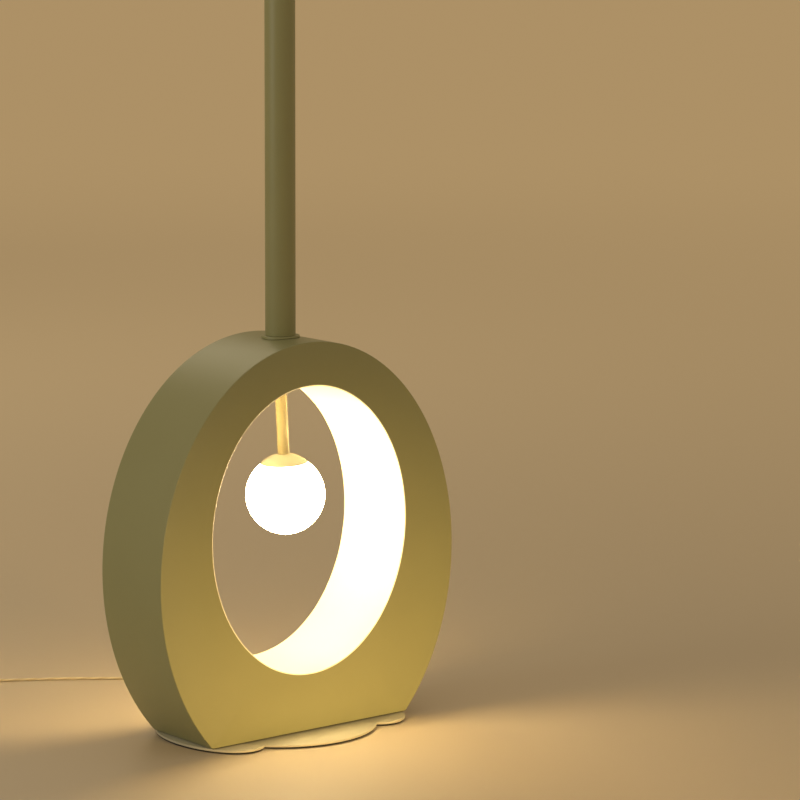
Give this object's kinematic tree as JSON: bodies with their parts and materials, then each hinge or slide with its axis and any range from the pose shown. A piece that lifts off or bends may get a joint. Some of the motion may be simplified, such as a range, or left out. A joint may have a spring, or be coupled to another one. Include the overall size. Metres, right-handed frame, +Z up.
{
  "type": "floor lamp",
  "caption": "Floor lamp with an upright oval ring base on a thin lobed plate, an opal globe hanging inside the ring, and a straight pole carrying a dome shade.",
  "frame": {"origin": "on the floor under the pole's axis, at the middle of the lamp's footprint, the cord left out", "axes": "+Z up along the pole, +X along the ring's width to the right as seen from the front, and the ring's front face looks along -Y"},
  "size_m": [0.5234, 0.563, 1.6079],
  "materials": {
    "sage_paint": "satin sage green paint",
    "inner_paint": "satin pale paint",
    "plate_paint": "satin pale sage paint",
    "rod_paint": "satin pale sage paint",
    "black_foam": "matt foam",
    "zinc_steel": "zinc plated",
    "ballast_iron": "as cast",
    "brass": "satin",
    "opal_glass": "opal",
    "ceramic": "matt ceramic",
    "ivory_plastic": "satin",
    "golden_cord": "clear sheath over golden strands",
    "wire_sheath": "satin",
    "tie_rubber": "matt"
  },
  "bodies": {
    "lamp": {"base_pad": "black_foam", "base_plate": "plate_paint", "foot_gasket": "black_foam", "base_screw_1": "zinc_steel", "base_screw_2": "zinc_steel", "base_screw_3": "zinc_steel", "base_screw_4": "zinc_steel", "ring_front_face": "sage_paint", "ring_back_face": "sage_paint", "ring_outer_band": "sage_paint", "ring_inner_band": "inner_paint", "ring_foot_plate": "zinc_steel", "ballast_block": "ballast_iron", "bridge_spacer": "zinc_steel", "through_nipple": "zinc_steel", "pole_collar": "sage_paint", "nipple_nut": "brass", "pole_foot_plug": "zinc_steel", "pole_lower": "sage_paint", "pole_coupler": "sage_paint", "pole_upper": "sage_paint", "pole_top_plug": "sage_paint", "rod_socket": "rod_paint", "hanging_rod": "rod_paint", "globe_cap": "rod_paint", "globe_holder": "ceramic", "globe_retaining_ring": "ceramic", "globe_bulb": "opal_glass", "globe_glass": "opal_glass", "harp_saddle": "brass", "holder_nipple": "zinc_steel", "top_holder": "ceramic", "top_bulb": "opal_glass", "shade_harp": "brass", "harp_stud": "brass", "shade_dome": "sage_paint", "shade_finial": "brass", "terminal_block": "ivory_plastic", "cord_gland": "ivory_plastic", "gland_nut": "ivory_plastic", "supply_wire": "wire_sheath", "pole_wire": "wire_sheath", "rod_wire": "wire_sheath", "switch_base": "ivory_plastic", "switch_cover": "ivory_plastic", "switch_module": "ivory_plastic", "switch_spring": "zinc_steel", "switch_grommet_1": "ivory_plastic", "switch_grommet_2": "ivory_plastic", "switch_screw_1": "zinc_steel", "switch_screw_2": "zinc_steel", "cord_lead_lamp": "golden_cord", "cord_lead_switch": "golden_cord", "cord_coil": "golden_cord", "cord_lead_plug": "golden_cord", "cord_tie": "tie_rubber", "plug_body": "ivory_plastic", "plug_pin_1": "brass", "plug_pin_2": "brass"},
    "button": {"switch_button": "ivory_plastic"}
  },
  "joints": [
    {"name": "button_press", "type": "slide", "parent": "lamp", "child": "button", "axis": [0, 0, -1], "range_m": [0, 0.003], "stiffness_N_per_m": 400, "springref_m": -0.002, "deforming": ["switch_spring"]}
  ]
}
